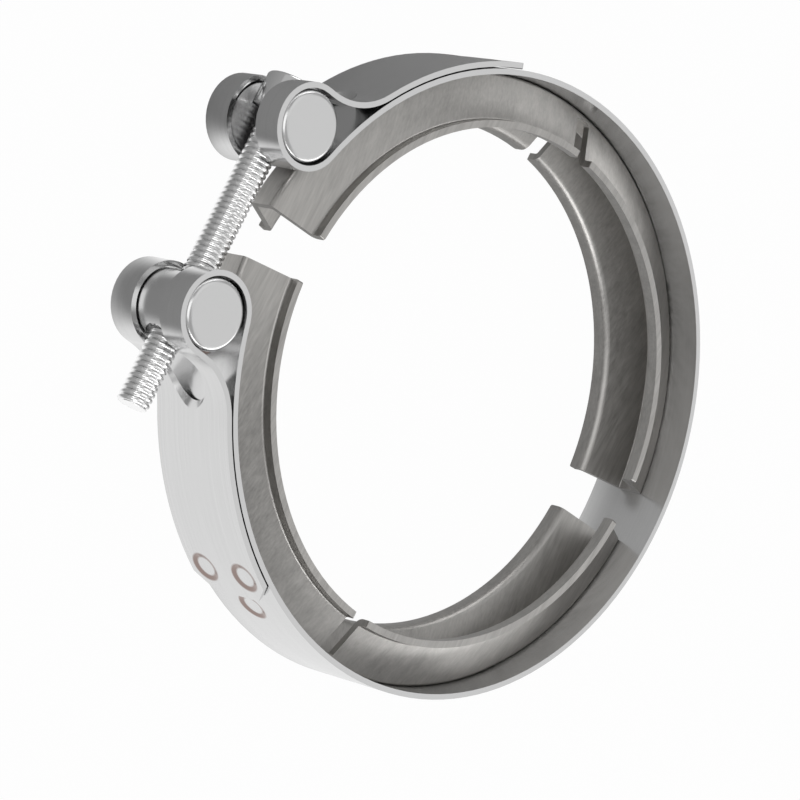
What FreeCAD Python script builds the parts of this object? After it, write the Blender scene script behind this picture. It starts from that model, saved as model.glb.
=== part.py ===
import FreeCAD, Part

import math
import os

import Sketcher

V = FreeCAD.Vector
ROT = FreeCAD.Rotation
PLACE = FreeCAD.Placement

doc = FreeCAD.newDocument("v_band_clamp")


# Driving dimensions, in millimetres and degrees
sheet = doc.addObject("Spreadsheet::Sheet", "Dims")
SIZES = [
    # strap: a strip folded into a ring with an eye at each end
    ("strap_inner_radius", 55.8),
    ("strap_gauge", 1.0),
    ("strap_width", 19.05),
    ("lap_clearance", 0.3),
    ("eye_offset", 18.2),
    ("eye_play", 0.3),
    ("neck_outer_radius", 13.0),
    ("lap_end_angle", 68.3),
    ("tongue_half_width", 6.0),
    ("tongue_taper_length", 3.5),
    # slot over the top of each eye, wider at its outer end
    ("slot_half_width", 3.85),
    ("slot_end_radius", 5.1),
    ("slot_end_drop", 6.75),
    ("head_slot_shoulder", 3.0),
    # spot welds, pressed into the surface
    ("weld_radius", 2.9),
    ("weld_floor_radius", 2.1),
    ("weld_depth", 0.3),
    ("lap_weld_angle", 63.2),
    ("lap_weld_offset", 5.3),
    ("retainer_weld_inset", 15.4),
    ("weld_from_slit", 17.5),
    # retainers: two pressed V channels, each slit through its flanks at the middle
    ("retainer_gauge", 1.27),
    ("retainer_base_half_width", 2.8),
    ("retainer_flank_angle", 23.2),
    ("retainer_height", 9.47),
    ("retainer_lip_reach", 1.985),
    ("retainer_base_bend", 1.0),
    ("retainer_floor_bend", 0.2),
    ("retainer_lip_bend", 0.5),
    ("retainer_corner_radius", 0.4),
    ("closure_gap_angle", 10.2),
    ("slit_width", 3.6),
    ("slit_web", 1.35),
    ("slit_corner_radius", 0.5),
    # trunnions
    ("trunnion_radius", 6.3),
    ("trunnion_length", 19.0),
    ("trunnion_edge_radius", 1.15),
    ("channel_half_width", 4.1),
    ("head_clearance", 0.3),
    ("seat_depth", 4.8),
    ("mouth_radius", 3.8),
    ("mouth_depth", 2.0),
    # screw
    ("thread_radius", 2.9),
    ("thread_clearance", 0.05),
    ("screw_length", 56.7),
    ("screw_end_chamfer", 0.4),
    ("head_radius", 4.9),
    ("head_height", 5.9),
    ("head_edge_radius", 0.5),
    ("socket_flats", 5.0),
    ("socket_depth", 3.0),
    ("seat_clearance", 0.05),
]
for row, (alias, value) in enumerate(SIZES, start=1):
    sheet.set("A%d" % row, alias)
    sheet.set("B%d" % row, repr(value))
    sheet.setAlias("B%d" % row, alias)
doc.recompute()


def size(alias):
    return float(sheet.get(alias))


def role_feature(body, role):
    for feature in body.Origin.OriginFeatures:
        if feature.Role == role:
            return feature
    raise ValueError(role)


def new_body(label):
    body = doc.addObject("PartDesign::Body", label)
    body.Label = label
    return body


def new_sketch(body, name, role, lift=None):
    """Sketch on an origin plane of the body, lifted along that plane's normal."""
    sketch = body.newObject("Sketcher::SketchObject", name)
    sketch.AttachmentSupport = [(role_feature(body, role), "")]
    sketch.MapMode = "FlatFace"
    if lift is not None:
        sketch.setExpression("AttachmentOffset.Base.z", lift)
        doc.recompute()
    return sketch


def bind_constraint(sketch, index, name, expression):
    sketch.renameConstraint(index, name)
    sketch.setExpression("Constraints." + name, expression)


def put(body, across="0", along="0", turn="0"):
    """Place a body: its origin in the ring's plane, and its turn about the ring's axis."""
    body.setExpression("Placement.Base.x", across)
    body.setExpression("Placement.Base.y", along)
    body.setExpression("Placement.Rotation.Angle", turn)
    doc.recompute()


def unit(angle_deg):
    a = math.radians(angle_deg)
    return V(math.cos(a), math.sin(a), 0)


def arc(centre, radius, start_deg, end_deg):
    circle = Part.Circle(centre, V(0, 0, 1), radius)
    return Part.ArcOfCircle(circle, math.radians(start_deg), math.radians(end_deg))


def value(expression):
    """Number that an expression of the sheet's sizes gives."""
    return float(sheet.evalExpression(expression))


def bound_polygon(sketch, corners):
    """Closed outline whose corners are expressions of the sheet's sizes."""
    points = [V(value(across), value(along), 0) for across, along in corners]
    count = len(points)
    first = sketch.GeometryCount
    for i in range(count):
        sketch.addGeometry(Part.LineSegment(points[i], points[(i + 1) % count]))
    for i in range(count):
        sketch.addConstraint(
            Sketcher.Constraint("Coincident", first + i, 2, first + (i + 1) % count, 1))
    for i, (across, along) in enumerate(corners):
        if abs(points[i].x) < 1e-9:
            sketch.addConstraint(Sketcher.Constraint("PointOnObject", first + i, 1, -2))
        else:
            index = sketch.addConstraint(
                Sketcher.Constraint("DistanceX", -1, 1, first + i, 1, points[i].x))
            bind_constraint(sketch, index, "across_%d" % (first + i), across)
        if abs(points[i].y) < 1e-9:
            sketch.addConstraint(Sketcher.Constraint("PointOnObject", first + i, 1, -1))
        else:
            index = sketch.addConstraint(
                Sketcher.Constraint("DistanceY", -1, 1, first + i, 1, points[i].y))
            bind_constraint(sketch, index, "along_%d" % (first + i), along)


def bent_outline(sketch, corners):
    """Closed outline with a bend at each corner that names a radius: its sharp form is
    construction lines with bound corners, and the real lines and arcs lie along it."""
    points = [V(value(across), value(along), 0) for across, along, radius in corners]
    count = len(points)
    first = sketch.GeometryCount
    bound_polygon(sketch, [(across, along) for across, along, radius in corners])
    for i in range(count):
        sketch.setConstruction(first + i, True)
    starts, ends = [], []
    for i, (across, along, radius) in enumerate(corners):
        before = (points[i - 1] - points[i]).normalize()
        after = (points[(i + 1) % count] - points[i]).normalize()
        back = 0 if radius is None else value(radius) / math.tan(before.getAngle(after) / 2)
        ends.append(points[i] + before * back)
        starts.append(points[i] + after * back)
    lines = [sketch.addGeometry(Part.LineSegment(starts[i], ends[(i + 1) % count]))
             for i in range(count)]
    for i, (across, along, radius) in enumerate(corners):
        line_in, line_out = lines[i - 1], lines[i]
        if radius is None:
            sketch.addConstraint([
                Sketcher.Constraint("Coincident", line_in, 2, line_out, 1),
                Sketcher.Constraint("Coincident", line_in, 2, first + i, 1),
            ])
            continue
        inward = ((ends[i] - points[i]) + (starts[i] - points[i])).normalize()
        half_open = (ends[i] - points[i]).getAngle(inward)
        centre = points[i] + inward * (value(radius) / math.sin(half_open))
        turns_left = (ends[i] - centre).cross(starts[i] - centre).z > 0
        tips = (ends[i], starts[i]) if turns_left else (starts[i], ends[i])
        angles = [math.degrees(math.atan2(tip.y - centre.y, tip.x - centre.x)) for tip in tips]
        if angles[1] < angles[0]:
            angles[1] += 360
        bend = sketch.addGeometry(arc(centre, value(radius), angles[0], angles[1]))
        sketch.addConstraint([
            Sketcher.Constraint("Tangent", line_in, 2, bend, 1 if turns_left else 2),
            Sketcher.Constraint("Tangent", line_out, 1, bend, 2 if turns_left else 1),
            Sketcher.Constraint("PointOnObject", line_in, 2, first + (i - 1) % count),
            Sketcher.Constraint("PointOnObject", line_out, 1, first + i),
        ])
        made = sketch.addConstraint(Sketcher.Constraint("Radius", bend, value(radius)))
        bind_constraint(sketch, made, "bend_%d" % i, radius)


def bound_circle(sketch, across, along, radius):
    """Circle whose centre and radius are expressions of the sheet's sizes."""
    centre = V(value(across), value(along), 0)
    index = sketch.addGeometry(Part.Circle(centre, V(0, 0, 1), value(radius)))
    if abs(centre.x) < 1e-9 and abs(centre.y) < 1e-9:
        sketch.addConstraint(Sketcher.Constraint("Coincident", index, 3, -1, 1))
    else:
        for kind, number, expression in (
                ("DistanceX", centre.x, across), ("DistanceY", centre.y, along)):
            if abs(number) < 1e-9:
                axis = -2 if kind == "DistanceX" else -1
                sketch.addConstraint(Sketcher.Constraint("PointOnObject", index, 3, axis))
            else:
                made = sketch.addConstraint(
                    Sketcher.Constraint(kind, -1, 1, index, 3, number))
                bind_constraint(sketch, made, "centre_%s" % kind, expression)
    made = sketch.addConstraint(Sketcher.Constraint("Radius", index, value(radius)))
    bind_constraint(sketch, made, "radius_%d" % index, radius)
    return index


def pad_both_ways(body, name, sketch, length):
    pad = body.newObject("PartDesign::Pad", name)
    pad.Profile = sketch
    pad.SideType = "Symmetric"
    pad.setExpression("Length", length)
    doc.recompute()
    return pad


def pocket(body, name, sketch, length, forward=False, both=False):
    """Cut along the sketch's normal, and check that it took something away."""
    before = body.Tip.Shape.Volume
    cut = body.newObject("PartDesign::Pocket", name)
    cut.Profile = sketch
    cut.Reversed = forward
    if both:
        cut.SideType = "Symmetric"
    cut.setExpression("Length", length)
    doc.recompute()
    if body.Tip.Shape.Volume >= before - 1e-6:
        raise RuntimeError(name + " cuts nothing")
    return cut


def fillet_edges(body, name, radius, wanted):
    """Round the edges of the body's tip that the test picks."""
    base = body.Tip
    names = ["Edge%d" % (i + 1) for i, edge in enumerate(base.Shape.Edges) if wanted(edge)]
    if not names:
        raise RuntimeError(name + " finds no edge")
    fillet = body.newObject("PartDesign::Fillet", name)
    fillet.Base = (base, names)
    fillet.setExpression("Radius", radius)
    doc.recompute()
    return fillet


# Where things are: the eye is bent loosely round its trunnion
EYE_INNER = "(Dims.trunnion_radius + Dims.eye_play)"
EYE_OUTER = "(" + EYE_INNER + " + Dims.strap_gauge)"
EYE_REACH = "(Dims.strap_inner_radius + " + EYE_OUTER + ")"
EYE_HEIGHT = "sqrt(" + EYE_REACH + "^2 - Dims.eye_offset^2)"
LAP_OUTER = "(Dims.strap_inner_radius + 2 * Dims.strap_gauge + Dims.lap_clearance)"
SEAT_X = "(Dims.eye_offset + Dims.trunnion_radius - Dims.seat_depth)"
eye_x = size("eye_offset")
eye_y = value(EYE_HEIGHT)
width = size("strap_width")
gauge = size("strap_gauge")


# Strap: half of it is drawn, and the mirror image makes the other half
strap = new_body("strap")

# Eye, neck and lap as one bent strip
eye_sketch = new_sketch(strap, "eye_profile", "XY_Plane")
origin = V(0, 0, 0)
eye = V(eye_x, eye_y, 0)
toward_eye = math.degrees(math.atan2(eye_y, eye_x))
neck_radius = size("neck_outer_radius")
neck_x = eye_x + value(EYE_OUTER) + neck_radius
neck_reach = value(LAP_OUTER) + neck_radius
neck_y = math.sqrt(neck_reach ** 2 - neck_x ** 2)
neck = V(neck_x, neck_y, 0)
toward_neck = math.degrees(math.atan2(neck_y, neck_x))
lap_end = 90 - size("lap_end_angle")


def strip_face(eye_radius, neck_arc_radius, lap_radius):
    """The four runs of one face of the strip, from the band's end to the lap's end."""
    side = eye_x + eye_radius
    return [
        arc(eye, eye_radius, 0, toward_eye + 180),
        Part.LineSegment(V(side, eye_y, 0), V(side, neck_y, 0)),
        arc(neck, neck_arc_radius, 180, toward_neck + 180),
        arc(origin, lap_radius, lap_end, toward_neck),
    ]


inner_face = strip_face(value(EYE_OUTER) - gauge, neck_radius + gauge, value(LAP_OUTER) - gauge)
outer_face = strip_face(value(EYE_OUTER), neck_radius, value(LAP_OUTER))
for curve in inner_face + outer_face:
    eye_sketch.addGeometry(curve)
start_edge = eye_sketch.addGeometry(
    Part.LineSegment(unit(toward_eye) * (size("strap_inner_radius") + gauge),
                     unit(toward_eye) * size("strap_inner_radius")))
end_edge = eye_sketch.addGeometry(
    Part.LineSegment(unit(lap_end) * (value(LAP_OUTER) - gauge),
                     unit(lap_end) * value(LAP_OUTER)))
for first in (0, 4):
    eye_arc, side_line, neck_arc, lap_arc = first, first + 1, first + 2, first + 3
    eye_sketch.addConstraint([
        Sketcher.Constraint("Tangent", eye_arc, 1, side_line, 1),
        Sketcher.Constraint("Vertical", side_line),
        Sketcher.Constraint("Tangent", side_line, 2, neck_arc, 1),
        Sketcher.Constraint("Tangent", neck_arc, 2, lap_arc, 2),
        Sketcher.Constraint("Coincident", lap_arc, 3, -1, 1),
    ])
eye_sketch.addConstraint([
    Sketcher.Constraint("Coincident", 0, 3, 4, 3),
    Sketcher.Constraint("Coincident", 2, 3, 6, 3),
    Sketcher.Constraint("Coincident", 0, 2, start_edge, 1),
    Sketcher.Constraint("Coincident", 4, 2, start_edge, 2),
    Sketcher.Constraint("PointOnObject", -1, 1, start_edge),
    Sketcher.Constraint("PointOnObject", 0, 3, start_edge),
    Sketcher.Constraint("Coincident", 3, 1, end_edge, 1),
    Sketcher.Constraint("Coincident", 7, 1, end_edge, 2),
    Sketcher.Constraint("PointOnObject", -1, 1, end_edge),
])
for name, constraint, expression in (
        ("reach", Sketcher.Constraint("Distance", -1, 1, 0, 3, eye.Length), EYE_REACH),
        ("eye_offset", Sketcher.Constraint("DistanceX", -1, 1, 0, 3, eye_x), "Dims.eye_offset"),
        ("eye_inner", Sketcher.Constraint("Radius", 0, value(EYE_INNER)), EYE_INNER),
        ("eye_outer", Sketcher.Constraint("Radius", 4, value(EYE_OUTER)), EYE_OUTER),
        ("neck", Sketcher.Constraint("Radius", 6, neck_radius), "Dims.neck_outer_radius"),
        ("lap", Sketcher.Constraint("Radius", 7, value(LAP_OUTER)), LAP_OUTER),
        ("lap_end", Sketcher.Constraint("DistanceY", -1, 1, 7, 1,
                                        value(LAP_OUTER) * math.sin(math.radians(lap_end))),
         LAP_OUTER + " * cos(Dims.lap_end_angle * 1 deg)")):
    bind_constraint(eye_sketch, eye_sketch.addConstraint(constraint), name, expression)
doc.recompute()
pad_both_ways(strap, "eye_neck_and_lap", eye_sketch, "Dims.strap_width")

# Slot over the top of the eye, with a round end down its closure side
over = new_sketch(strap, "slot_over_top", "XZ_Plane", "-" + EYE_HEIGHT)
reach_out = "(" + EYE_OUTER + " + Dims.strap_gauge)"
bound_polygon(over, [
    ("Dims.eye_offset - " + reach_out, "-Dims.slot_half_width"),
    ("Dims.eye_offset + " + reach_out, "-Dims.slot_half_width"),
    ("Dims.eye_offset + " + reach_out, "Dims.slot_half_width"),
    ("Dims.eye_offset - " + reach_out, "Dims.slot_half_width"),
])
pocket(strap, "cut_over_top", over, reach_out)
inner_end = new_sketch(strap, "slot_closure_end", "YZ_Plane", "Dims.eye_offset")
bound_circle(inner_end, EYE_HEIGHT, "0", "Dims.slot_half_width")
pocket(strap, "cut_closure_end", inner_end, reach_out)

# Slot's outer end: it widens down the neck to a round end
SLOT_END = "(" + EYE_HEIGHT + " - Dims.slot_end_drop)"
slot_half = size("slot_half_width")
end_radius = size("slot_end_radius")
drop = size("slot_end_drop")
end_height = eye_y - drop
tilt = math.asin(end_radius / math.hypot(drop, slot_half)) + math.atan2(slot_half, drop)
tilt = math.pi - tilt
side_out = V(end_height + end_radius * math.cos(tilt), end_radius * math.sin(tilt), 0)
teardrop = new_sketch(strap, "slot_outer_end", "YZ_Plane", "Dims.eye_offset")
centre = V(end_height, 0, 0)
round_end = teardrop.addGeometry(arc(centre, end_radius, math.degrees(tilt),
                                     360 - math.degrees(tilt)))
upper = teardrop.addGeometry(Part.LineSegment(V(eye_y, slot_half, 0), side_out))
across = teardrop.addGeometry(Part.LineSegment(V(eye_y, -slot_half, 0), V(eye_y, slot_half, 0)))
lower = teardrop.addGeometry(
    Part.LineSegment(V(side_out.x, -side_out.y, 0), V(eye_y, -slot_half, 0)))
teardrop.addConstraint([
    Sketcher.Constraint("Tangent", upper, 2, round_end, 1),
    Sketcher.Constraint("Tangent", lower, 1, round_end, 2),
    Sketcher.Constraint("Coincident", across, 2, upper, 1),
    Sketcher.Constraint("Coincident", lower, 2, across, 1),
    Sketcher.Constraint("PointOnObject", round_end, 3, -1),
    Sketcher.Constraint("Symmetric", across, 1, across, 2, -1),
])
for name, constraint, expression in (
        ("end_radius", Sketcher.Constraint("Radius", round_end, end_radius),
         "Dims.slot_end_radius"),
        ("end_height", Sketcher.Constraint("DistanceX", -1, 1, round_end, 3, end_height),
         SLOT_END),
        ("top", Sketcher.Constraint("DistanceX", -1, 1, upper, 1, eye_y), EYE_HEIGHT),
        ("half_width", Sketcher.Constraint("DistanceY", -1, 1, upper, 1, slot_half),
         "Dims.slot_half_width")):
    bind_constraint(teardrop, teardrop.addConstraint(constraint), name, expression)
doc.recompute()
pocket(strap, "cut_outer_end", teardrop, "Dims.eye_offset", forward=True)

# Tongue: the lap's end narrows to a blunt tip
tongue = new_sketch(strap, "tongue_corners", "YZ_Plane")
tongue.AttachmentOffset = PLACE(V(0, 0, 0), ROT(V(0, 1, 0), lap_end))
tongue.setExpression("AttachmentOffset.Rotation.Angle", "90 - Dims.lap_end_angle")
for sign in ("", "-"):
    bound_polygon(tongue, [
        ("0", sign + "Dims.tongue_half_width"),
        ("Dims.tongue_taper_length", sign + "Dims.strap_width / 2"),
        ("Dims.tongue_taper_length", sign + "Dims.strap_width"),
        ("-Dims.strap_gauge", sign + "Dims.strap_width"),
        ("-Dims.strap_gauge", sign + "Dims.tongue_half_width"),
    ])
doc.recompute()
pocket(strap, "cut_tongue_corners", tongue, LAP_OUTER + " + Dims.strap_gauge", forward=True)

# Band: the strip's single run round the retainers
band_sketch = new_sketch(strap, "band_profile", "XY_Plane")
band_inner = size("strap_inner_radius")
band_faces = [band_sketch.addGeometry(arc(origin, radius, -90, toward_eye))
              for radius in (band_inner, band_inner + gauge)]
low_edge = band_sketch.addGeometry(
    Part.LineSegment(V(0, -band_inner, 0), V(0, -band_inner - gauge, 0)))
high_edge = band_sketch.addGeometry(
    Part.LineSegment(unit(toward_eye) * band_inner, unit(toward_eye) * (band_inner + gauge)))
for place, face in enumerate(band_faces, start=1):
    band_sketch.addConstraint([
        Sketcher.Constraint("Coincident", face, 3, -1, 1),
        Sketcher.Constraint("Coincident", face, 1, low_edge, place),
        Sketcher.Constraint("Coincident", face, 2, high_edge, place),
        Sketcher.Constraint("PointOnObject", face, 1, -2),
    ])
band_sketch.addConstraint(Sketcher.Constraint("PointOnObject", -1, 1, high_edge))
for name, constraint, expression in (
        ("inner", Sketcher.Constraint("Radius", band_faces[0], band_inner),
         "Dims.strap_inner_radius"),
        ("outer", Sketcher.Constraint("Radius", band_faces[1], band_inner + gauge),
         "Dims.strap_inner_radius + Dims.strap_gauge"),
        ("turn", Sketcher.Constraint("DistanceX", -1, 1, band_faces[0], 2,
                                     band_inner * eye_x / eye.Length),
         "Dims.strap_inner_radius * Dims.eye_offset / " + EYE_REACH)):
    bind_constraint(band_sketch, band_sketch.addConstraint(constraint), name, expression)
doc.recompute()
pad_both_ways(strap, "band", band_sketch, "Dims.strap_width")

# Spot welds: shallow round dents, two through the lap and four over the retainer
inset = size("retainer_weld_inset")
near_slit = size("weld_from_slit")
retainer_start = size("closure_gap_angle") / 2
DENTS = [
    (size("lap_weld_angle"), size("lap_weld_offset"), value(LAP_OUTER)),
    (size("lap_weld_angle"), -size("lap_weld_offset"), value(LAP_OUTER)),
]
for angle in (retainer_start + inset, 90 - near_slit, 90 + near_slit, 180 - retainer_start - inset):
    DENTS.append((angle, 0, band_inner + gauge))
for number, (angle, height, radius) in enumerate(DENTS, start=1):
    dent = strap.newObject("PartDesign::SubtractiveCone", "weld_dent_%d" % number)
    turned = unit(90 - angle)
    depth = size("weld_depth")
    dent.AttachmentSupport = [(role_feature(strap, "XY_Plane"), "")]
    dent.MapMode = "FlatFace"
    dent.AttachmentOffset = PLACE(turned * (radius - depth) + V(0, 0, height),
                                  ROT(V(0, 0, 1), turned))
    dent.setExpression("Radius1", "Dims.weld_floor_radius")
    dent.setExpression("Radius2", "2 * Dims.weld_radius - Dims.weld_floor_radius")
    dent.setExpression("Height", "2 * Dims.weld_depth")
    doc.recompute()

# The other half
mirror = strap.newObject("PartDesign::Mirrored", "other_half")
mirror.TransformMode = "Whole shape"
mirror.MirrorPlane = (role_feature(strap, "YZ_Plane"), [""])
strap.Tip = mirror
doc.recompute()

# The screw's head goes through the eye on its side, so the slot is wider there
HEAD_SLOT_HALF = "(Dims.head_radius + Dims.head_clearance)"
SHOULDER = "(" + EYE_HEIGHT + " + Dims.head_slot_shoulder)"
head_slot = new_sketch(strap, "slot_for_head", "YZ_Plane", "Dims.eye_offset")
bound_polygon(head_slot, [
    (SLOT_END, "-Dims.slot_end_radius"),
    (EYE_HEIGHT, "-" + HEAD_SLOT_HALF),
    (SHOULDER, "-" + HEAD_SLOT_HALF),
    (EYE_HEIGHT + " + " + EYE_OUTER, "-Dims.slot_half_width"),
    (EYE_HEIGHT + " + " + EYE_OUTER, "Dims.slot_half_width"),
    (SHOULDER, HEAD_SLOT_HALF),
    (EYE_HEIGHT, HEAD_SLOT_HALF),
    (SLOT_END, "Dims.slot_end_radius"),
])
doc.recompute()
pocket(strap, "cut_for_head", head_slot, "Dims.eye_offset", forward=True)


# Retainers: a V channel turned through part of a circle
BASE_OUT = "Dims.strap_inner_radius"
BASE_IN = "(Dims.strap_inner_radius - Dims.retainer_gauge)"
LIP_IN = "(Dims.strap_inner_radius - Dims.retainer_height)"
LIP_OUT = "(Dims.strap_inner_radius - Dims.retainer_height + Dims.retainer_gauge)"
SPREAD = "tan(Dims.retainer_flank_angle * 1 deg)"
OUTER_LINE = "Dims.retainer_base_half_width"
INNER_LINE = ("(Dims.retainer_base_half_width"
              " - Dims.retainer_gauge / cos(Dims.retainer_flank_angle * 1 deg))")
LIP_ROOT = OUTER_LINE + " + (Dims.retainer_height - Dims.retainer_gauge) * " + SPREAD
LIP_TIP = "(" + LIP_ROOT + " + Dims.retainer_lip_reach)"
UPPER_SIDE = [
    (BASE_OUT, OUTER_LINE, "Dims.retainer_base_bend"),
    (LIP_OUT, LIP_ROOT, "Dims.retainer_lip_bend"),
    (LIP_OUT, LIP_TIP, None),
    (LIP_IN, LIP_TIP, None),
    (LIP_IN, INNER_LINE + " + Dims.retainer_height * " + SPREAD,
     "Dims.retainer_lip_bend + Dims.retainer_gauge"),
    (BASE_IN, INNER_LINE + " + Dims.retainer_gauge * " + SPREAD, "Dims.retainer_floor_bend"),
]
LOWER_SIDE = [(across, "-(" + along + ")", radius)
              for across, along, radius in reversed(UPPER_SIDE)]


SLIT_END = "(Dims.strap_inner_radius - Dims.slit_web)"


def near(number, target):
    return abs(number - target) < 0.01


def lip_corner_test(edge):
    """Picks the short radial edges at the ends of the lips."""
    if not isinstance(edge.Curve, Part.Line):
        return False
    return (near(abs(edge.CenterOfMass.z), value(LIP_TIP))
            and near(edge.Length, size("retainer_gauge"))
            and near(edge.Vertexes[0].Z, edge.Vertexes[1].Z))


def make_retainer(label, turned):
    body = new_body(label)
    profile = new_sketch(body, label + "_profile", "XZ_Plane")
    bent_outline(profile, UPPER_SIDE + LOWER_SIDE)
    doc.recompute()
    turn = body.newObject("PartDesign::Revolution", label + "_turn")
    turn.Profile = profile
    turn.ReferenceAxis = (role_feature(body, "Z_Axis"), [""])
    turn.setExpression("Angle", "180 - Dims.closure_gap_angle")
    turn.Midplane = True
    doc.recompute()
    slit = new_sketch(body, label + "_slit", "XY_Plane")
    bent_outline(slit, [
        (LIP_IN + " / 2", "-Dims.slit_width / 2", None),
        (SLIT_END, "-Dims.slit_width / 2", "Dims.slit_corner_radius"),
        (SLIT_END, "Dims.slit_width / 2", "Dims.slit_corner_radius"),
        (LIP_IN + " / 2", "Dims.slit_width / 2", None),
    ])
    doc.recompute()
    pocket(body, label + "_cut_slit", slit, "2 * Dims.strap_width", both=True)
    fillet_edges(body, label + "_lip_corners", "Dims.retainer_corner_radius", lip_corner_test)
    put(body, turn=turned)
    return body


make_retainer("retainer_right", "0")
make_retainer("retainer_left", "180")


# Trunnions: round bars with rounded ends
def make_trunnion(label, side):
    body = new_body(label)
    circle = new_sketch(body, label + "_circle", "XY_Plane")
    bound_circle(circle, "0", "0", "Dims.trunnion_radius")
    doc.recompute()
    pad_both_ways(body, label + "_bar", circle, "Dims.trunnion_length")
    half_length = size("trunnion_length") / 2
    fillet_edges(body, label + "_ends", "Dims.trunnion_edge_radius",
                 lambda edge: near(abs(edge.CenterOfMass.z), half_length))
    put(body, across=side + "Dims.eye_offset", along=EYE_HEIGHT)
    return body


# Saddle trunnion: an open channel for the screw, and a round seat that holds its head
saddle = make_trunnion("saddle_trunnion", "")
channel = new_sketch(saddle, "channel_profile", "YZ_Plane")
half = size("channel_half_width")
mouth = size("trunnion_radius") * 1.5
floor_arc = channel.addGeometry(arc(origin, half, 90, 270))
near_wall = channel.addGeometry(Part.LineSegment(V(mouth, half, 0), V(0, half, 0)))
far_wall = channel.addGeometry(Part.LineSegment(V(0, -half, 0), V(mouth, -half, 0)))
lid = channel.addGeometry(Part.LineSegment(V(mouth, -half, 0), V(mouth, half, 0)))
channel.addConstraint([
    Sketcher.Constraint("Coincident", floor_arc, 3, -1, 1),
    Sketcher.Constraint("Tangent", near_wall, 2, floor_arc, 1),
    Sketcher.Constraint("Tangent", floor_arc, 2, far_wall, 1),
    Sketcher.Constraint("Coincident", far_wall, 2, lid, 1),
    Sketcher.Constraint("Coincident", lid, 2, near_wall, 1),
    Sketcher.Constraint("Horizontal", near_wall),
    Sketcher.Constraint("Horizontal", far_wall),
    Sketcher.Constraint("Vertical", lid),
])
for name, constraint, expression in (
        ("half_width", Sketcher.Constraint("Radius", floor_arc, half),
         "Dims.channel_half_width"),
        ("mouth", Sketcher.Constraint("DistanceX", -1, 1, lid, 1, mouth),
         "Dims.trunnion_radius * 1.5")):
    bind_constraint(channel, channel.addConstraint(constraint), name, expression)
doc.recompute()
pocket(saddle, "cut_channel", channel, "Dims.trunnion_radius * 3", both=True)
seat = new_sketch(saddle, "head_seat", "YZ_Plane", "Dims.trunnion_radius - Dims.seat_depth")
bound_circle(seat, "0", "0", HEAD_SLOT_HALF)
doc.recompute()
pocket(saddle, "cut_head_seat", seat, "Dims.trunnion_radius * 2", forward=True)

# Tapped trunnion: a cross hole for the thread, opened out at both mouths
tapped = make_trunnion("tapped_trunnion", "-")
hole = new_sketch(tapped, "hole_profile", "XY_Plane")
THREAD_HOLE = "(Dims.thread_radius + Dims.thread_clearance)"
MOUTH_FLOOR = "(Dims.trunnion_radius - Dims.mouth_depth)"
CONE_END = "(" + MOUTH_FLOOR + " - Dims.mouth_radius + " + THREAD_HOLE + ")"
right = [
    ("Dims.trunnion_radius * 1.2", "0"),
    ("Dims.trunnion_radius * 1.2", "Dims.mouth_radius"),
    (MOUTH_FLOOR, "Dims.mouth_radius"),
    (CONE_END, THREAD_HOLE),
]
left = [("-(" + across + ")", along) for across, along in reversed(right)]
bound_polygon(hole, right + left)
doc.recompute()
before = tapped.Tip.Shape.Volume
groove = tapped.newObject("PartDesign::Groove", "cross_hole")
groove.Profile = hole
groove.ReferenceAxis = (role_feature(tapped, "X_Axis"), [""])
groove.Angle = 360
doc.recompute()
if tapped.Tip.Shape.Volume >= before:
    raise RuntimeError("cross hole cuts nothing")


# Cap screw: its own origin is under the head, with the shank toward -X
screw = new_body("cap_screw")
turned_outline = new_sketch(screw, "screw_profile", "XY_Plane")
bound_polygon(turned_outline, [
    ("-Dims.screw_length", "0"),
    ("-Dims.screw_length", "Dims.thread_radius - Dims.screw_end_chamfer"),
    ("-Dims.screw_length + Dims.screw_end_chamfer", "Dims.thread_radius"),
    ("0", "Dims.thread_radius"),
    ("0", "Dims.head_radius"),
    ("Dims.head_height", "Dims.head_radius"),
    ("Dims.head_height", "0"),
])
doc.recompute()
turned_body = screw.newObject("PartDesign::Revolution", "turned_shape")
turned_body.Profile = turned_outline
turned_body.ReferenceAxis = (role_feature(screw, "X_Axis"), [""])
turned_body.Angle = 360
doc.recompute()
head_top = size("head_height")
fillet_edges(screw, "head_edge", "Dims.head_edge_radius",
             lambda edge: near(edge.CenterOfMass.x, head_top)
             and isinstance(edge.Curve, Part.Circle))
socket = new_sketch(screw, "key_socket", "YZ_Plane", "Dims.head_height")
flats = "Dims.socket_flats / 2"
corner = "Dims.socket_flats / sqrt(3)"
bound_polygon(socket, [
    (corner, "0"),
    (corner + " / 2", flats),
    ("-" + corner + " / 2", flats),
    ("-" + corner, "0"),
    ("-" + corner + " / 2", "-" + flats),
    (corner + " / 2", "-" + flats),
])
doc.recompute()
pocket(screw, "cut_key_socket", socket, "Dims.socket_depth")
put(screw, across=SEAT_X + " + Dims.seat_clearance", along=EYE_HEIGHT)


# Every object is sound before anything is written
for item in doc.Objects:
    if any(word in item.State for word in ("Invalid", "Error")):
        raise RuntimeError(item.Label + " failed")
bodies = [item for item in doc.Objects if item.TypeId == "PartDesign::Body"]
for body in bodies:
    if body.Shape.isNull() or not body.Shape.isValid():
        raise RuntimeError(body.Label + " has no sound shape")
    if len(body.Shape.Solids) != 1:
        raise RuntimeError(body.Label + " is not one solid")

os.makedirs("parts", exist_ok=True)
for body in bodies:
    body.Shape.exportStep("parts/%s.step" % body.Label)
    print("%-22s %9.1f mm3" % (body.Label, body.Shape.Volume))
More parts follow.
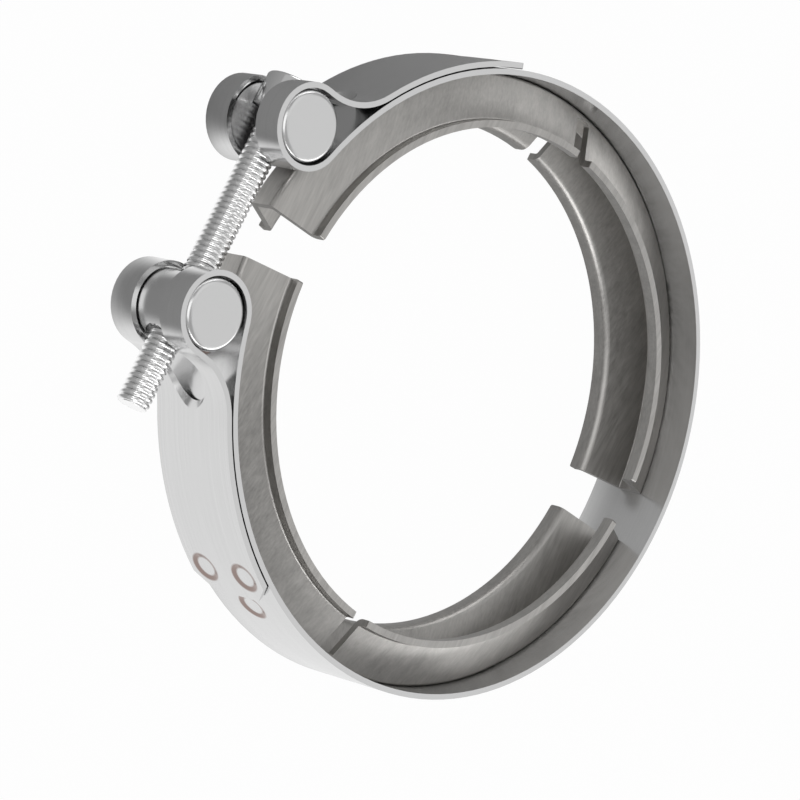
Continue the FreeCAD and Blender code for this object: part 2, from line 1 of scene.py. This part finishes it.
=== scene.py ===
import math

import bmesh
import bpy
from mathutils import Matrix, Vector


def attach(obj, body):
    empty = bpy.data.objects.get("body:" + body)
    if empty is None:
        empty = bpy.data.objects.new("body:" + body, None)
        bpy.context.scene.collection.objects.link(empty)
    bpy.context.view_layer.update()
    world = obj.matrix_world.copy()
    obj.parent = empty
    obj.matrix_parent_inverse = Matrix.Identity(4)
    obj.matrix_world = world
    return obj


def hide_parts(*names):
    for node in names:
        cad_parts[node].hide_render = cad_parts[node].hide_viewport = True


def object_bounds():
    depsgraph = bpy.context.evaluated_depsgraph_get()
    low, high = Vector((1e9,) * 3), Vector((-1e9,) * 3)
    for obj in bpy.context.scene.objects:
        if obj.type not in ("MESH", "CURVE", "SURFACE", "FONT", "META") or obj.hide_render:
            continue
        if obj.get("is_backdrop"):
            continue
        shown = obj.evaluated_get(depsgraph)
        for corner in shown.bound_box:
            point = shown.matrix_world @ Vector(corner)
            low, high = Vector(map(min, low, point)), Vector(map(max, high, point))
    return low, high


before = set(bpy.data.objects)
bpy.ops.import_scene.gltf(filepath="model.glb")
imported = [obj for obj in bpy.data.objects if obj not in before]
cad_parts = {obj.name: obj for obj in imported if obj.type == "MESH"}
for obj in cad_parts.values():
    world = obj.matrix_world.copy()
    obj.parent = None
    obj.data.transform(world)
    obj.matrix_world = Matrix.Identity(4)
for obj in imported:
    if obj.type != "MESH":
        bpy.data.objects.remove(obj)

# %% [markdown]
# # A V band clamp
#
# A strip of stainless steel is folded into a ring with an eye at each end. Two pressed
# channels are spot-welded inside it, a round trunnion sits in each eye, and a cap screw
# draws the two trunnions together. The solids already have the shape of all of this, so
# the lesson is about the surfaces of four kinds of steel, a real thread for the screw,
# and a light that lets the metal read as metal.

MM = 0.001
scene = bpy.context.scene
scene.view_settings.view_transform = "Standard"

low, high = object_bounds()
print("the solids fill", [round((b - a) / MM, 1) for a, b in zip(low, high)], "mm")

# %% [markdown]
# ## Camera
# The clamp lies flat and is seen from above its closure. The camera's three directions
# and its place were fitted to the photograph, so it is built straight from them and not
# turned by angles. A long lens from two thirds of a metre keeps the ring nearly round.

# %% Camera
LENS = 162.06
SENSOR_WIDTH = 36.0
NEAREST_SEEN = 0.01
FARTHEST_SEEN = 20.0
CAMERA_RIGHT = Vector((0.42937, -0.60912, 0.66679))
CAMERA_UP = Vector((0.87684, 0.45801, -0.14623))
CAMERA_BACK = Vector((-0.21632, 0.64746, 0.73076))
CAMERA_PLACE = Vector((-147.128, 423.630, 469.816)) * MM

camera_data = bpy.data.cameras.new("camera")
camera_data.lens = LENS
camera_data.sensor_width = SENSOR_WIDTH
camera_data.clip_start = NEAREST_SEEN
camera_data.clip_end = FARTHEST_SEEN
camera = bpy.data.objects.new("camera", camera_data)
turned = Matrix((CAMERA_RIGHT, CAMERA_UP, CAMERA_BACK)).transposed().to_4x4()
camera.matrix_world = Matrix.Translation(CAMERA_PLACE) @ turned
scene.collection.objects.link(camera)
scene.camera = camera
print("the camera is", round(CAMERA_PLACE.length, 3), "m from the ring's centre")

# %% [markdown]
# ## Tools for node trees
# Every finish below is a small tree of nodes. Two helpers keep the trees readable: one
# adds a node with all its inputs, and one writes a step of arithmetic as a Math node.

# %% Helpers: nodes
def add(tree, kind, inputs=None, **settings):
    """Add a node; each input takes a value or the socket that feeds it."""
    node = tree.nodes.new(kind)
    for name, value in settings.items():
        setattr(node, name, value)
    for name, value in (inputs or {}).items():
        if isinstance(value, bpy.types.NodeSocket):
            tree.links.new(value, node.inputs[name])
        else:
            node.inputs[name].default_value = value
    return node


def calc(tree, operation, *values):
    """A Math node, given as its operation and its values."""
    node = add(tree, "ShaderNodeMath", dict(enumerate(values)), operation=operation)
    return node.outputs[0]


def spot(tree):
    """Where on the object a point is, in metres."""
    return add(tree, "ShaderNodeTexCoord").outputs["Object"]


def length_of(tree, x, y):
    """How long a flat step of x and y is."""
    step = add(tree, "ShaderNodeCombineXYZ", {"X": x, "Y": y}).outputs[0]
    return add(tree, "ShaderNodeVectorMath", {0: step}, operation="LENGTH").outputs["Value"]


# %% [markdown]
# A metal starts with its plain colour and roughness. Noise then varies both a little, and
# the same noise can press a slight relief into the surface.

# %% Helpers: metals
NOISE_MIDDLE = (0.3, 0.7)
NOISE_ROUGHNESS = 0.6


def metal(name, colour, roughness):
    """A plain metal, with its node tree and its shader at hand."""
    material = bpy.data.materials.new(name)
    material.use_nodes = True
    shader = material.node_tree.nodes["Principled BSDF"]
    shader.inputs["Base Color"].default_value = (*colour, 1.0)
    shader.inputs["Metallic"].default_value = 1.0
    shader.inputs["Roughness"].default_value = roughness
    return material, material.node_tree, shader


def grain(tree, stretch, detail=3.0):
    """Noise from 0 to 1, drawn out by a stretch along each axis, per metre."""
    drawn = add(tree, "ShaderNodeVectorMath", {0: spot(tree), 1: stretch}, operation="MULTIPLY")
    noise = add(tree, "ShaderNodeTexNoise", {"Vector": drawn.outputs[0], "Scale": 1.0,
                                             "Detail": detail, "Roughness": NOISE_ROUGHNESS})
    return noise.outputs["Fac"]


def spread(tree, noise, low_end, high_end):
    """Bring noise from its usual middle range to the range asked for."""
    node = add(tree, "ShaderNodeMapRange", {
        "Value": noise, "From Min": NOISE_MIDDLE[0], "From Max": NOISE_MIDDLE[1],
        "To Min": low_end, "To Max": high_end})
    return node.outputs[0]


# %% Helpers: colour, relief and dressing
def tinted(tree, colour, strength):
    """The colour made lighter or darker by a factor."""
    node = add(tree, "ShaderNodeVectorMath", {0: colour, "Scale": strength}, operation="SCALE")
    return node.outputs[0]


def blend(tree, share, first, second):
    """From the first colour to the second as the share goes from 0 to 1."""
    node = add(tree, "ShaderNodeMix", {0: share, 6: first, 7: second}, data_type="RGBA")
    return node.outputs[2]


def relief(tree, shader, height, depth):
    """Press the height into the surface, by a depth in metres."""
    bump = add(tree, "ShaderNodeBump", {"Height": height, "Distance": depth, "Strength": 1.0})
    tree.links.new(bump.outputs[0], shader.inputs["Normal"])


def dress(material, *piece_names):
    """Give solids a better material in place of their plain one."""
    for name in piece_names:
        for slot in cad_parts[name].material_slots:
            slot.material = material
    print(material.name, "on", ", ".join(piece_names))


# %% [markdown]
# ## Strap
# The strap is slit from a bright rolled coil. Rolling leaves very fine lines along the
# strip, which here means lines of equal height all round the ring, and slow changes of
# gloss.

# %% Strap: rolled steel
STRAP_COLOUR = (0.66, 0.66, 0.66)
STRAP_ROUGHNESS = 0.21
strap_steel, tree, shader = metal("strap_steel", STRAP_COLOUR, STRAP_ROUGHNESS)
lines = grain(tree, (20.0, 20.0, 2600.0))
clouds = grain(tree, (45.0, 45.0, 45.0), detail=2.0)
rolled_colour = tinted(tree, STRAP_COLOUR, spread(tree, lines, 0.97, 1.03))
tree.links.new(spread(tree, clouds, 0.17, 0.25), shader.inputs["Roughness"])
relief(tree, shader, lines, 0.004 * MM)
dress(strap_steel, "strap")

# %% [markdown]
# Each spot weld has burnt a brown ring round its dent. Both halves of the strap carry the
# same welds, front and back too, so the distances are taken with the signs of x and z
# dropped, and five centres do for all twelve welds.

# %% Strap: how far a point is from the nearest weld
RING_OUTER = 56.8 * MM
LAP_OUTER = 58.1 * MM
LAP_WELD_ANGLE = 63.2
LAP_WELD_HEIGHT = 5.3 * MM
BAND_WELD_ANGLES = (20.5, 72.5, 107.5, 159.5)


def weld_centre(angle, height, radius):
    """A weld's place from its angle off the closure, in degrees."""
    turn = math.radians(angle)
    return (radius * math.sin(turn), radius * math.cos(turn), height)


point = add(tree, "ShaderNodeSeparateXYZ", {0: spot(tree)}).outputs
folded = add(tree, "ShaderNodeCombineXYZ", {
    "X": calc(tree, "ABSOLUTE", point["X"]),
    "Y": point["Y"],
    "Z": calc(tree, "ABSOLUTE", point["Z"]),
}).outputs[0]
centres = [weld_centre(LAP_WELD_ANGLE, LAP_WELD_HEIGHT, LAP_OUTER)]
centres += [weld_centre(angle, 0.0, RING_OUTER) for angle in BAND_WELD_ANGLES]
nearest = 1.0
for centre in centres:
    reach = add(tree, "ShaderNodeVectorMath", {0: folded, 1: centre}, operation="DISTANCE")
    nearest = calc(tree, "MINIMUM", nearest, reach.outputs["Value"])
print("welds:", len(centres), "centres, folded to twelve")

# %% [markdown]
# The brown is full along the dent's sloping wall and fades on both sides of it. It is kept
# to the strap's outside, because inside it the retainers cover every weld.

# %% Strap: burnt rings
WELD_RADIUS = 2.9 * MM
WELD_FLOOR = 2.1 * MM
BURN_COLOUR = (0.30, 0.235, 0.215, 1.0)
BURN_FULL = 0.3 * MM
BURN_GONE = 0.7 * MM
SKIN = 0.3 * MM
wall_middle = (WELD_RADIUS + WELD_FLOOR) / 2
off_wall = calc(tree, "ABSOLUTE", calc(tree, "SUBTRACT", nearest, wall_middle))
burnt = add(tree, "ShaderNodeMapRange", {"Value": off_wall, "From Min": BURN_FULL,
                                         "From Max": BURN_GONE, "To Min": 1.0, "To Max": 0.0})
off_centre = length_of(tree, point["X"], point["Y"])
on_outside = calc(tree, "GREATER_THAN", off_centre, RING_OUTER - SKIN)
burnt = calc(tree, "MULTIPLY", burnt.outputs[0], on_outside)
tree.links.new(blend(tree, burnt, rolled_colour, BURN_COLOUR), shader.inputs["Base Color"])
print("burnt rings of", round(2 * wall_middle / MM, 1), "mm across")

# %% [markdown]
# ## Retainers
# The channels are pressed from sheet that was linished before it was bent, with straight
# scratches all one way. The scratches run parallel to the screw. Noise that is long along
# x and very short across it gives them, in the colour, the gloss and a slight relief.

# %% Retainer steel
RETAINER_COLOUR = (0.42, 0.41, 0.395)
RETAINER_ROUGHNESS = 0.38
SHARE_OF_BROAD = 0.4
retainer_steel, tree, shader = metal("retainer_steel", RETAINER_COLOUR, RETAINER_ROUGHNESS)
fine = grain(tree, (70.0, 2600.0, 2600.0), detail=4.0)
broad = grain(tree, (25.0, 500.0, 500.0), detail=2.0)
scratches = calc(tree, "MULTIPLY_ADD", broad, SHARE_OF_BROAD,
                 calc(tree, "MULTIPLY", fine, 1.0 - SHARE_OF_BROAD))
colour = tinted(tree, RETAINER_COLOUR, spread(tree, scratches, 0.8, 1.2))
tree.links.new(colour, shader.inputs["Base Color"])
tree.links.new(spread(tree, fine, 0.32, 0.44), shader.inputs["Roughness"])
relief(tree, shader, scratches, 0.008 * MM)
dress(retainer_steel, "retainer_right", "retainer_left")

# %% [markdown]
# ## Trunnions
# The trunnions are short lengths of ground and polished bar. Facing their ends on a
# lathe leaves rings round each bar's axis that are only just there.

# %% Polished steel
POLISHED_COLOUR = (0.66, 0.66, 0.66)
POLISHED_ROUGHNESS = 0.25
TRUNNION_PLACE = (18.2 * MM, 60.73 * MM)
RINGS_PER_METRE = 5000.0
polished_steel, tree, shader = metal("polished_steel", POLISHED_COLOUR, POLISHED_ROUGHNESS)
point = add(tree, "ShaderNodeSeparateXYZ", {0: spot(tree)}).outputs
off_axis = length_of(
    tree,
    calc(tree, "SUBTRACT", calc(tree, "ABSOLUTE", point["X"]), TRUNNION_PLACE[0]),
    calc(tree, "SUBTRACT", point["Y"], TRUNNION_PLACE[1]))
rings = add(tree, "ShaderNodeTexNoise", {"W": off_axis, "Scale": RINGS_PER_METRE, "Detail": 2.0},
            noise_dimensions="1D").outputs["Fac"]
tree.links.new(spread(tree, rings, 0.235, 0.265), shader.inputs["Roughness"])
relief(tree, shader, rings, 0.0007 * MM)
dress(polished_steel, "saddle_trunnion", "tapped_trunnion")

# %% [markdown]
# ## Screw
# The screw is bright zinc plate over a rolled thread. The solid has a plain shank at the
# thread's outer diameter, so the dressed screw is the solid's own head with the shank cut
# off, and a threaded shank grown in its place.

# %% Screw steel
SCREW_COLOUR = (0.9, 0.9, 0.9)
SCREW_ROUGHNESS = 0.16
screw_steel, tree, shader = metal("screw_steel", SCREW_COLOUR, SCREW_ROUGHNESS)
clouds = grain(tree, (400.0, 400.0, 400.0))
tree.links.new(spread(tree, clouds, 0.12, 0.2), shader.inputs["Roughness"])
relief(tree, shader, clouds, 0.0005 * MM)
print(screw_steel.name, "for the head and the thread")

# %% Sizes of the thread
ROWS_IN_PITCH = 12.0
SPARE_PITCHES = 2.0
SIZES_OF_THREAD = {
    "Pitch": 25.4 / 24 * MM,
    "Crest radius": 2.9 * MM,
    "Root radius": 2.3 * MM,
    "Length": 56.7 * MM,
    "Buried in head": 0.6 * MM,
    "End chamfer": 0.4 * MM,
}
UNDER_HEAD = Vector((19.75, 60.73, 0.0)) * MM
SAME_POINT = 0.001 * MM
print("the thread is", round(SIZES_OF_THREAD["Length"] / SIZES_OF_THREAD["Pitch"], 1), "turns long")

# %% [markdown]
# The thread is made as a skin wound on the slant. A flat grid has its rows run along the
# screw and its columns round it, and each column starts a little further along than the
# last, so that after one turn it is a whole pitch ahead and meets the row twelve rows on.
# Every row then follows one helix, and its radius is all that is needed.

# %% Thread: the flat grid
def thread_grid(tree, given, whole):
    """A grid of whole pitches with some to spare at each end, its row and its turn."""
    pitches = calc(tree, "CEIL", calc(tree, "DIVIDE", whole, given["Pitch"]))
    pitches = calc(tree, "ADD", pitches, 2.0 * SPARE_PITCHES)
    rows = calc(tree, "MULTIPLY", pitches, ROWS_IN_PITCH)
    grid = add(tree, "GeometryNodeMeshGrid", {
        "Size X": 1.0, "Size Y": 1.0,
        "Vertices X": calc(tree, "ADD", rows, 1.0),
        "Vertices Y": calc(tree, "ADD", given["Steps round"], 1.0),
    }).outputs["Mesh"]
    position = add(tree, "GeometryNodeInputPosition").outputs[0]
    at = add(tree, "ShaderNodeSeparateXYZ", {0: position}).outputs
    row = calc(tree, "ROUND", calc(tree, "MULTIPLY", calc(tree, "ADD", at["X"], 0.5), rows))
    turn = calc(tree, "ADD", at["Y"], 0.5)
    return grid, row, turn


# %% [markdown]
# The plated thread is worn round, so the radius is a half circle from groove to groove,
# cut by a small cone at the screw's free end. Rows past either end are drawn in to the
# axis, and that closes the skin.

# %% Thread: the radius of a row
def thread_radius(tree, given, row, kept, past_ends):
    """A rounded rib, less the chamfer, and nothing past the ends."""
    crest, root = given["Crest radius"], given["Root radius"]
    phase = calc(tree, "FRACT", calc(tree, "DIVIDE", row, ROWS_IN_PITCH))
    off_crest = calc(tree, "MULTIPLY", calc(tree, "SUBTRACT", phase, 0.5), 2.0)
    fall = calc(tree, "MULTIPLY", off_crest, off_crest)
    rib = calc(tree, "SQRT", calc(tree, "SUBTRACT", 1.0, fall))
    rise = calc(tree, "MULTIPLY", rib, calc(tree, "SUBTRACT", crest, root))
    ribbed = calc(tree, "ADD", root, rise)
    cone = calc(tree, "ADD", calc(tree, "SUBTRACT", crest, given["End chamfer"]), kept)
    shaped = calc(tree, "MINIMUM", ribbed, cone)
    drawn_in = calc(tree, "MULTIPLY", past_ends, calc(tree, "DIVIDE", crest, given["Pitch"]))
    return calc(tree, "MAXIMUM", calc(tree, "SUBTRACT", shaped, drawn_in), 0.0)


# %% Thread: winding the grid round the screw
def wound_place(tree, given, kept, radius, turn):
    """Where a point of the grid goes, from its turn and its radius."""
    angle = calc(tree, "MULTIPLY", turn, math.tau)
    wound = add(tree, "ShaderNodeCombineXYZ", {
        "X": calc(tree, "SUBTRACT", kept, given["Length"]),
        "Y": calc(tree, "MULTIPLY", radius, calc(tree, "COSINE", angle)),
        "Z": calc(tree, "MULTIPLY", radius, calc(tree, "SINE", angle)),
    }).outputs[0]
    placed = add(tree, "ShaderNodeVectorMath", {0: wound, 1: given["Under head"]}, operation="ADD")
    return placed.outputs[0]


# %% [markdown]
# One group of Geometry Nodes holds these steps, with every size as a named input.

# %% Thread: the group
def thread_group(name):
    """Grid, radius and winding in one group, from its sizes to a coated mesh."""
    tree = bpy.data.node_groups.new(name, "GeometryNodeTree")
    sockets = dict.fromkeys(SIZES_OF_THREAD, "NodeSocketFloat")
    sockets["Steps round"] = "NodeSocketInt"
    sockets["Under head"] = "NodeSocketVector"
    sockets["Metal"] = "NodeSocketMaterial"
    for label, kind in sockets.items():
        tree.interface.new_socket(label, in_out="INPUT", socket_type=kind)
    tree.interface.new_socket("Geometry", in_out="OUTPUT", socket_type="NodeSocketGeometry")
    given = tree.nodes.new("NodeGroupInput").outputs

    # how far along the shank a point is, from its free end
    whole = calc(tree, "ADD", given["Length"], given["Buried in head"])
    grid, row, turn = thread_grid(tree, given, whole)
    pitches_on = calc(tree, "ADD", calc(tree, "DIVIDE", row, ROWS_IN_PITCH), turn)
    pitches_on = calc(tree, "SUBTRACT", pitches_on, SPARE_PITCHES)
    along = calc(tree, "MULTIPLY", pitches_on, given["Pitch"])
    before = calc(tree, "MAXIMUM", calc(tree, "MULTIPLY", along, -1.0), 0.0)
    beyond = calc(tree, "MAXIMUM", calc(tree, "SUBTRACT", along, whole), 0.0)
    past_ends = calc(tree, "ADD", before, beyond)
    kept = calc(tree, "MINIMUM", calc(tree, "MAXIMUM", along, 0.0), whole)

    # shape the skin, close it and coat it
    radius = thread_radius(tree, given, row, kept, past_ends)
    place = wound_place(tree, given, kept, radius, turn)
    shaped = add(tree, "GeometryNodeSetPosition", {"Geometry": grid, "Position": place})
    joined = add(tree, "GeometryNodeMergeByDistance", {"Geometry": shaped.outputs[0],
                                                       "Distance": SAME_POINT})
    real = add(tree, "GeometryNodeRealizeInstances", {"Geometry": joined.outputs[0]})
    coated = add(tree, "GeometryNodeSetMaterial", {"Geometry": real.outputs[0],
                                                   "Material": given["Metal"]})
    add(tree, "NodeGroupOutput", {0: coated.outputs[0]})
    return tree


# %% [markdown]
# The group runs once on an empty object, with its inputs set first, and only the mesh it
# makes is kept.

# %% Thread: grow it
STEPS_ROUND = 48


def grow(name, group, values):
    """Run a group on an empty object and keep the result as a plain mesh."""
    seed = bpy.data.objects.new(name, bpy.data.meshes.new(name))
    scene.collection.objects.link(seed)
    modifier = seed.modifiers.new(name, "NODES")
    modifier.node_group = group
    for item in group.interface.items_tree:
        if item.in_out == "INPUT":
            modifier[item.identifier] = values[item.name]
    seen = seed.evaluated_get(bpy.context.evaluated_depsgraph_get())
    mesh = bpy.data.meshes.new_from_object(seen)
    bpy.data.objects.remove(seed)
    return mesh


values = {**SIZES_OF_THREAD, "Steps round": STEPS_ROUND, "Under head": UNDER_HEAD,
          "Metal": screw_steel}
thread = grow("thread", thread_group("rolled_thread"), values)
print("thread:", len(thread.polygons), "faces")

# %% [markdown]
# The head is a copy of the solid's, cut at the plane under it, and joined to the thread as
# one piece that rides on the screw's body in place of the plain solid.

# %% Head from the solid, and the two as one screw
SHARP_FROM = 35


def head_of(piece, plane):
    """The part of a solid beyond a plane across x, closed at the plane."""
    form = bmesh.new()
    form.from_mesh(piece.data)
    form.transform(piece.matrix_world)
    bmesh.ops.remove_doubles(form, verts=form.verts, dist=SAME_POINT)
    shank = [v for v in form.verts if v.co.x < plane - 10 * SAME_POINT]
    bmesh.ops.delete(form, geom=shank, context="VERTS")
    bmesh.ops.holes_fill(form, edges=[e for e in form.edges if e.is_boundary], sides=0)
    return form


def piece_from(name, form, material, sharp_angle):
    """An object with one material, smooth but for its sharp edges."""
    mesh = bpy.data.meshes.new(name)
    form.to_mesh(mesh)
    form.free()
    mesh.materials.clear()
    mesh.materials.append(material)
    for face in mesh.polygons:
        face.use_smooth = True
        face.material_index = 0
    mesh.set_sharp_from_angle(angle=math.radians(sharp_angle))
    piece = bpy.data.objects.new(name, mesh)
    scene.collection.objects.link(piece)
    return piece


form = head_of(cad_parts["cap_screw"], UNDER_HEAD.x)
form.from_mesh(thread)
screw = piece_from("threaded_cap_screw", form, screw_steel, SHARP_FROM)
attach(screw, "screw")
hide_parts("cap_screw")
print("screw:", len(screw.data.polygons), "faces")

# %% [markdown]
# ## Floor
# The floor is white paper level with the clamp's lowest edge.

# %% Floor: the sheet
FLOOR_HALF = 6.0
corners = [(x * FLOOR_HALF, y * FLOOR_HALF, low.z) for x, y in ((-1, -1), (1, -1), (1, 1), (-1, 1))]
mesh = bpy.data.meshes.new("floor")
mesh.from_pydata(corners, [], [(0, 1, 2, 3)])
floor = bpy.data.objects.new("floor", mesh)
scene.collection.objects.link(floor)
floor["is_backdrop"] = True
print("the floor is at", round(low.z / MM, 3), "mm")

# %% [markdown]
# The metal sees the paper too, and the paper carries painted light for the metal alone: it glows
# for glossy rays though it is no lamp. In the photograph every wall that faces left shows a
# bright floor, and every wall that faces right or away from the ring a dim one. So the painted
# glow is full to the left of the right-hand eye and up to the line of the screw. It fades out
# past both, and inside the ring it is weak, as painted shade of the ring. The fade to the right
# is short at the screw and widens behind it, or the back of the strap would show it as a line.

# %% Floor: painted light that the metal sees
GLOW_EDGE = 12.0 * MM
FADE_RIGHT = 4.0 * MM
FADE_WIDENS_OVER = 15.0 * MM
GLOW_ENDS_AWAY = (71.0 * MM, 62.0 * MM)
RING_SHADE = (50.0 * MM, 58.0 * MM)
GLOW_INSIDE = 0.3

paper = bpy.data.materials.new("paper")
paper.use_nodes = True
tree = paper.node_tree
tree.nodes.clear()
rays = add(tree, "ShaderNodeLightPath").outputs
point = add(tree, "ShaderNodeSeparateXYZ", {0: spot(tree)}).outputs
behind = calc(tree, "SUBTRACT", GLOW_ENDS_AWAY[1], point["Y"])
behind = calc(tree, "MAXIMUM", behind, 0.0)
width = calc(tree, "ADD", calc(tree, "DIVIDE", behind, FADE_WIDENS_OVER), 1.0)
past_edge = calc(tree, "DIVIDE", calc(tree, "SUBTRACT", point["X"], GLOW_EDGE), width)
# painted light: for glossy rays the paper glows, full on the left and fading to the right and away,
# a pool of light with no lamp behind it
painted_glow_for_metal = rays["Is Glossy Ray"]
for measure, none, full in ((past_edge, FADE_RIGHT, -FADE_RIGHT), (point["Y"], *GLOW_ENDS_AWAY)):
    fade = add(tree, "ShaderNodeMapRange", {"Value": measure, "From Min": none, "From Max": full},
               interpolation_type="SMOOTHSTEP")
    painted_glow_for_metal = calc(tree, "MULTIPLY", painted_glow_for_metal, fade.outputs[0])
# painted shade: inside the ring the painted glow drops to a low share, standing in for the ring's
# shade
painted_glow_for_metal = add(tree, "ShaderNodeMapRange", {
    "Value": length_of(tree, point["X"], point["Y"]),
    "From Min": RING_SHADE[0], "From Max": RING_SHADE[1],
    "To Min": calc(tree, "MULTIPLY", rays["Is Glossy Ray"], GLOW_INSIDE),
    "To Max": painted_glow_for_metal}).outputs[0]
print("the glow fades from", round(GLOW_EDGE / MM), "mm to the right")

# %% [markdown]
# White paper under soft light is not pure white in a picture, so most of what the camera
# sees is a glow of strength 1, and the rest is lit paper, which keeps the clamp's shadow.

# %% Floor: paper and glow
CAMERA_GLOW = 0.98
PAPER_COLOUR = (0.36, 0.36, 0.36, 1.0)
WHITE = (1.0, 1.0, 1.0, 1.0)
seen = calc(tree, "MAXIMUM", rays["Is Camera Ray"], rays["Is Transmission Ray"])
glow = calc(tree, "MAXIMUM", calc(tree, "MULTIPLY", seen, CAMERA_GLOW), painted_glow_for_metal)
matt = add(tree, "ShaderNodeBsdfDiffuse", {"Color": PAPER_COLOUR})
light = add(tree, "ShaderNodeEmission", {"Color": WHITE, "Strength": 1.0})
mixed = add(tree, "ShaderNodeMixShader", {0: glow, 1: matt.outputs[0], 2: light.outputs[0]})
add(tree, "ShaderNodeOutputMaterial", {"Surface": mixed.outputs[0]})
floor.data.materials.append(paper)
print("paper:", len(tree.nodes), "nodes")

# %% [markdown]
# ## Light
# Polished metal shows what is round it, so the lamps are large sheets of light, and each
# has a side of the metal to itself. A low one on the left lights the floor there, and
# the rounded edges catch it. The clamp's own shadow falls to the right, so the walls on
# that side have a dim floor to mirror. The two behind are what the flat tops mirror, the
# one on the right reaches the retainers by way of the strap's wall, and the one in front
# is there for the screw, which is the only thing that mirrors it.

# %% Lamps
SHEETS = {
    "left": {"bearing": 190, "height": 22, "sides": (0.8, 0.5), "power": 4.2},
    "behind": {"bearing": 272, "height": 42, "sides": (1.3, 0.9), "power": 1.5},
    "behind_low": {"bearing": 250, "height": 15, "sides": (1.2, 0.45), "power": 3.6},
    "right": {"bearing": 12, "height": 15, "sides": (0.9, 0.4), "power": 2.6},
    "front": {"bearing": 108, "height": 48, "sides": (0.8, 0.8), "power": 2.2},
    "above": {"bearing": 0, "height": 65, "sides": (0.9, 0.9), "power": 1.2},
}
HOW_FAR = 1.1


def sheet_of_light(name, bearing, height, sides, power):
    """A lamp aimed at the clamp, from a bearing off +X and a height, both in degrees."""
    data = bpy.data.lights.new(name, "AREA")
    data.shape = "RECTANGLE"
    data.size, data.size_y = sides
    data.energy = power
    lamp = bpy.data.objects.new(name, data)
    turn, rise = math.radians(bearing), math.radians(height)
    level = math.cos(rise)
    aim = Vector((level * math.cos(turn), level * math.sin(turn), math.sin(rise)))
    lamp.location = aim * HOW_FAR
    lamp.rotation_euler = aim.to_track_quat("Z", "Y").to_euler()
    scene.collection.objects.link(lamp)


for name, settings in SHEETS.items():
    sheet_of_light(name, **settings)
print("lamps:", len(SHEETS), "with", round(sum(s["power"] for s in SHEETS.values()), 1), "W in all")

# %% [markdown]
# The room is an even, dim white, so that no side of the metal goes black.

# %% Room
ROOM_STRENGTH = 0.46
world = bpy.data.worlds.new("room")
scene.world = world
world.use_nodes = True
background = world.node_tree.nodes["Background"]
background.inputs["Color"].default_value = WHITE
background.inputs["Strength"].default_value = ROOM_STRENGTH
print("the room's strength is", ROOM_STRENGTH)

# %% Bounds of the finished scene
low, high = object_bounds()
